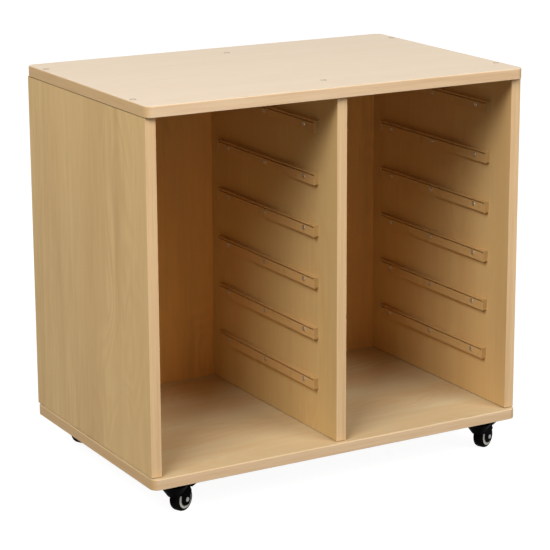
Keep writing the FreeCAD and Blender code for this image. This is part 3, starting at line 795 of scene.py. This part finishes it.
def pan_head_screw(settings, shank_radius, shank_length):
    """One screw along +X with its head's seat at x = 0, domed and with a cross recess."""
    radius, height = settings.head, settings.dome
    skirt = height * 0.44
    head = new_disc("screw_head", (skirt / 2, 0, 0), radius, skirt, "x", 20)
    edit(head, "FACE", lambda face: face.normal.x > 0.9)
    for inset, rise in ((0.1, 0.26), (0.2, 0.2), (0.3, 0.1)):
        bpy.ops.mesh.inset(thickness=radius * inset)
        bpy.ops.transform.translate(value=(height * rise, 0, 0))
    leave_edit()
    arm = radius * 0.52
    width = radius * 0.17
    bars = [new_block("recess_bar", (height - settings.recess, -a, -b), (height * 2, a, b))
            for a, b in ((arm, width), (width, arm))]
    for bar in bars:
        cut(head, bar)
    overlap = 0.2 * MM
    shank = new_disc("screw_shank", (overlap - shank_length / 2, 0, 0), shank_radius, shank_length,
                     "x", 12)
    return join("screw", [head, shank])


class CABINET_OT_runner_screws(bpy.types.Operator):
    """Drive the pan-head screws that hold the runners"""
    bl_idname = "cabinet.runner_screws"
    bl_label = "Runner screws"

    def execute(self, context):
        settings = context.scene.cabinet_runners
        pattern = pan_head_screw(settings, shank_radius=1.75 * MM, shank_length=9 * MM)
        dress(pattern, plated("screw_steel", settings.steel))
        smooth(pattern, 30)
        seat = settings.web + 0.05 * MM
        for node, walls in (("side_runner_screws", "outer"), ("divider_runner_screws", "inner")):
            screws = [copy_of(pattern, "screw", back + Vector((seat * math.cos(turn), y, 0)), turn)
                      for runner, back, turn in runner_places() if walls in runner
                      for y in screws_along(settings)]
            finish_piece(join(node + "_set", screws), CABINET, node)
        bpy.data.objects.remove(pattern, do_unlink=True)
        return {"FINISHED"}


class CABINET_OT_caps(bpy.types.Operator):
    """Press the round caps over the joining screws in the top"""
    bl_idname = "cabinet.caps"
    bl_label = "Screw caps"

    def execute(self, context):
        settings = context.scene.cabinet_caps
        low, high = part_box("screw_caps")
        plastic = moulded("cap_plastic", settings.cap, 0.4, grain=1200.0, depth=0.00002)
        shade = moulded("cap_dimple", settings.shaded_dimple, 0.5, grain=1200.0, depth=0.00002)
        caps = []
        for x, y in joining_places():
            middle = (x, y, (low.z + high.z) / 2)
            cap = new_disc("cap", middle, settings.radius, high.z - low.z, "z", 28)
            edit(cap, "FACE", lambda face: face.normal.z > 0.9)
            bpy.ops.mesh.inset(thickness=settings.rim)
            bpy.ops.mesh.inset(thickness=settings.sink)
            bpy.ops.transform.translate(value=(0, 0, -settings.sink))
            leave_edit()
            caps.append(cap)
        piece = join("top_screw_caps", caps)
        dress(piece, plastic, shade)
        # Painted shade: the sunk middle of each cap takes the darker dimple colour.
        give_material(piece, 1, lambda part: part.normal.z > 0.9
                      and part.center.z < high.z - settings.sink / 2)
        smooth(piece, 40)
        finish_piece(piece, CABINET, "screw_caps")
        return {"FINISHED"}


# ------------------------------------------------------------------------------- castors

class CABINET_OT_castors(bpy.types.Operator):
    """Dress the four castors: plates, hoods, axles, wheels and brake pedals"""
    bl_idname = "cabinet.castors"
    bl_label = "Castors"

    def execute(self, context):
        settings = context.scene.cabinet_castors
        black = moulded("hood_nylon", settings.hood, 0.38, grain=700.0, depth=0.00004, wear=0.3,
                        gloss=0.5, ior=1.04)
        rubber = rubbery("tyre_rubber", settings.tyre, settings.dust)
        grey = moulded("hub_plastic", settings.hub, 0.38, grain=1500.0, wear=0.06)
        steel = plated("castor_steel", settings.steel)
        for castor in CASTORS:
            swivel = castor + "_swivel"
            wheel = castor + "_wheel"
            # Each part with the body that it rides on, its slot, its finish and its edges' radius.
            for part, body, slot, material, edge in (
                    ("plate", CABINET, "castor_plate", steel, 0.5 * MM),
                    ("hood", swivel, "castor_hood", black, settings.edge),
                    ("axle", swivel, "screw", steel, 0.4 * MM),
                    ("hub", wheel, "wheel_hub", grey, 0.4 * MM),
                    ("tyre", wheel, "tyre", rubber, 1.2 * MM),
                    ("brake_pedal", castor + "_pedal", "brake_pedal", black, 0.6 * MM)):
                node = castor + "_" + part
                if node not in NODES:  # only the front castors have a brake
                    continue
                piece = likeness(node, node + "_dressed", rings=part == "tyre")
                dress(piece, material)
                soften(piece, edge, 3)
                finish_piece(piece, body, node)
        return {"FINISHED"}


class CABINET_OT_fixings(bpy.types.Operator):
    """Give the joining screws and plate screws their steel"""
    bl_idname = "cabinet.fixings"
    bl_label = "Fixings"

    def execute(self, context):
        steel = plated("fixing_steel", context.scene.cabinet_castors.fixings)
        for node in ("top_joining_screws", "base_joining_screws", "castor_plate_screws"):
            dress(NODES[node], steel)
        return {"FINISHED"}


# --------------------------------------------------------------------------------- stage

# The camera's place, its turn in degrees, and its lens. A lamp has a name, an azimuth and an
# elevation in degrees, and a width.
CAMERA_PLACE = (-1.7247, -3.0254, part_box("base_panel")[0].z + 1.1845)
CAMERA_TURN = (76.021, -0.074, -30.996)
CAMERA_LENS = 139.07
CAMERA_SHIFT = (-0.0873, -0.0702)
LAMPS = (("key", -57, 44, 2.8), ("fill", 28, 37, 3.0))
LAMP_AIM = Vector((0, 0, 0.35))
LAMP_DISTANCE = 6.0


def area_light(name, azimuth, elevation, size, watts):
    """A square soft light that looks at the cabinet's middle. Azimuth 0 is straight in front
    and grows to the right; elevation is above level."""
    turn, rise = math.radians(azimuth), math.radians(elevation)
    out = Vector((math.sin(turn) * math.cos(rise), -math.cos(turn) * math.cos(rise), math.sin(rise)))
    lamp = bpy.data.lights.new(name, "AREA")
    lamp.shape = "SQUARE"
    lamp.size = size
    lamp.energy = watts
    item = bpy.data.objects.new(name, lamp)
    bpy.context.collection.objects.link(item)
    item.location = LAMP_AIM + out * LAMP_DISTANCE
    item.rotation_euler = out.to_track_quat("Z", "Y").to_euler()
    return item


def seen_directly(tree):
    """1 for rays from the camera, off mirrors and through glass, 0 for all other light."""
    path = tree.nodes.new("ShaderNodeLightPath")
    seen = path.outputs["Is Camera Ray"]
    for kind in ("Is Glossy Ray", "Is Transmission Ray"):
        largest = tree.nodes.new("ShaderNodeMath")
        largest.operation = "MAXIMUM"
        tree.links.new(seen, largest.inputs[0])
        tree.links.new(path.outputs[kind], largest.inputs[1])
        seen = largest.outputs[0]
    return seen


def show_white(tree, lit, glow, target):
    """Feed target the lit closure, or the white one where the rays see it directly."""
    mix = tree.nodes.new("ShaderNodeMixShader")
    tree.links.new(seen_directly(tree), mix.inputs[0])
    tree.links.new(lit, mix.inputs[1])
    tree.links.new(glow, mix.inputs[2])
    tree.links.new(mix.outputs[0], target)


class CABINET_OT_stage(bpy.types.Operator):
    """Set up the pale floor, the soft light and the camera"""
    bl_idname = "cabinet.stage"
    bl_label = "Stage"

    def execute(self, context):
        settings = context.scene.cabinet_stage
        self.floor(settings.floor)
        self.world(settings.sky)
        for name, azimuth, elevation, size in LAMPS:
            area_light(name, azimuth, elevation, size, getattr(settings, name))
        self.camera(context)
        context.scene.view_settings.view_transform = "Standard"
        return {"FINISHED"}

    @staticmethod
    def floor(glow_strength):
        """A plain sheet that is pale to the camera and dull to the light."""
        deselect_all()
        bpy.ops.mesh.primitive_plane_add(size=14, location=(0, 0, 0))
        floor = bpy.context.object
        floor.name = "floor"
        shader = Shader("floor_paper")
        cloud = shader.noise(shader.place, 2.0, 2.0)
        tone = shader.blend(cloud, (0.15, 0.15, 0.15), (0.17, 0.17, 0.17))
        shader.set(Base_Color=tone, Roughness=0.9)
        glow = shader.node("Emission")
        glow.inputs["Strength"].default_value = glow_strength
        bright = shader.node("AddShader")
        shader.join(shader.surface.outputs[0], bright.inputs[0])
        shader.join(glow.outputs[0], bright.inputs[1])
        show_white(shader.tree, shader.surface.outputs[0], bright.outputs[0],
                   shader.tree.nodes["Material Output"].inputs["Surface"])
        floor.data.materials.append(shader.material)

    @staticmethod
    def world(strength):
        world = bpy.data.worlds.new("studio")
        world.use_nodes = True
        bpy.context.scene.world = world
        tree = world.node_tree
        lit = tree.nodes["Background"]
        lit.inputs["Color"].default_value = (1, 1, 1, 1)
        lit.inputs["Strength"].default_value = strength
        white = tree.nodes.new("ShaderNodeBackground")
        white.inputs["Color"].default_value = (1, 1, 1, 1)
        show_white(tree, lit.outputs[0], white.outputs[0], tree.nodes["World Output"].inputs["Surface"])

    @staticmethod
    def camera(context):
        data = bpy.data.cameras.new("camera")
        data.lens = CAMERA_LENS
        data.sensor_width = 36
        data.shift_x, data.shift_y = CAMERA_SHIFT
        data.clip_end = 50
        item = bpy.data.objects.new("camera", data)
        bpy.context.collection.objects.link(item)
        item.location = CAMERA_PLACE
        item.rotation_euler = [math.radians(turn) for turn in CAMERA_TURN]
        context.scene.camera = item


# --------------------------------------------------------------------------------- add-on

STEPS = (CABINET_OT_cover_boards, CABINET_OT_upright_boards, CABINET_OT_tray_runners,
         CABINET_OT_runner_screws, CABINET_OT_caps, CABINET_OT_castors, CABINET_OT_fixings,
         CABINET_OT_stage)
GROUPS = (("cabinet_boards", BoardSettings), ("cabinet_runners", RunnerSettings),
          ("cabinet_caps", CapSettings), ("cabinet_castors", CastorSettings),
          ("cabinet_stage", StageSettings))


class CABINET_PT_panel(bpy.types.Panel):
    """The steps that dress the cabinet, in order"""
    bl_idname = "CABINET_PT_panel"
    bl_label = "Tray cabinet"
    bl_space_type = "VIEW_3D"
    bl_region_type = "UI"
    bl_category = "Tray cabinet"

    def draw(self, context):
        for group, kind in GROUPS:
            box = self.layout.box()
            for name in kind.__annotations__:
                box.prop(getattr(context.scene, group), name)
        for step in STEPS:
            self.layout.operator(step.bl_idname)


def register():
    for group, kind in GROUPS:
        bpy.utils.register_class(kind)
        setattr(bpy.types.Scene, group, bpy.props.PointerProperty(type=kind))
    for item in STEPS + (CABINET_PT_panel,):
        bpy.utils.register_class(item)


def unregister():
    for item in reversed(STEPS + (CABINET_PT_panel,)):
        bpy.utils.unregister_class(item)
    for group, kind in reversed(GROUPS):
        delattr(bpy.types.Scene, group)
        bpy.utils.unregister_class(kind)


def main():
    register()
    for step in STEPS:
        family, name = step.bl_idname.split(".")
        getattr(getattr(bpy.ops, family), name)()


if __name__ == "__main__":
    main()
